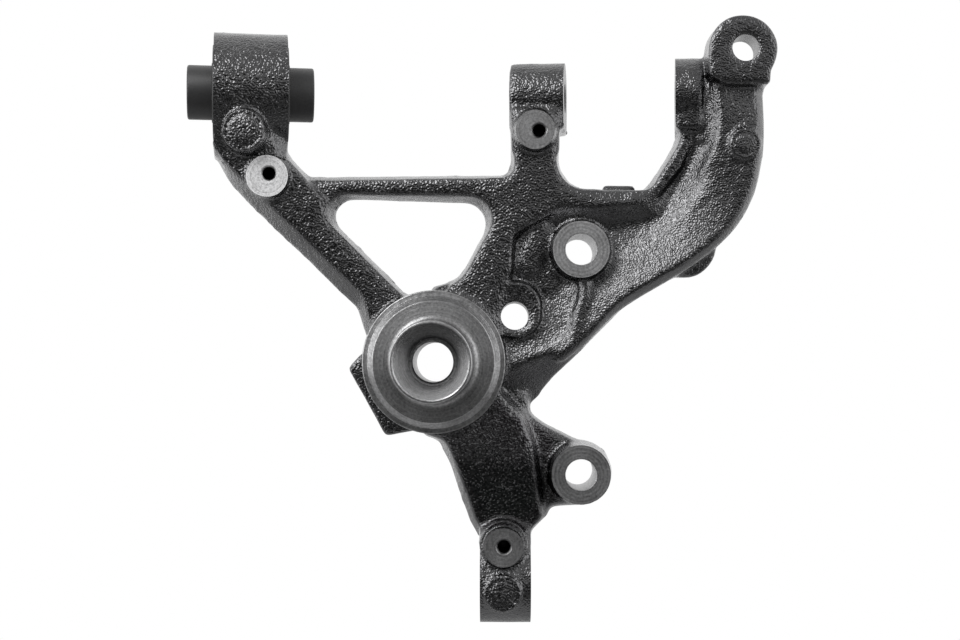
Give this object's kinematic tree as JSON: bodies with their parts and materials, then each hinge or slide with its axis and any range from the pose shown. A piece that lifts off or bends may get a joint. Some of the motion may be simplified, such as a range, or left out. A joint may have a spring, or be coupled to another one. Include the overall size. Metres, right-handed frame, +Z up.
{
  "type": "steering knuckle",
  "caption": "Rear wheel carrier: black-coated cast knuckle with a turned stub axle, calliper lugs, a clevis for the upper link and a pressed-in rubber bush.",
  "frame": {"origin": "on the wheel axis, in the plane of the hub shoulder that the wheel bearing is clamped against", "axes": "-Y along the wheel axis towards the wheel (outboard), +Z up, +X to the right when seen from outboard"},
  "size_m": [0.2386, 0.0727, 0.243],
  "materials": {
    "black_coated_casting": "black semi-gloss coat over sand-cast iron, with bare machined faces",
    "sleeve_steel": "dark phosphated steel, satin",
    "rubber": "matte black"
  },
  "bodies": {
    "root": {"knuckle_casting": "black_coated_casting", "bush_outer_sleeve": "sleeve_steel", "bush_rubber": "rubber", "bush_inner_sleeve": "sleeve_steel"}
  },
  "joints": []
}
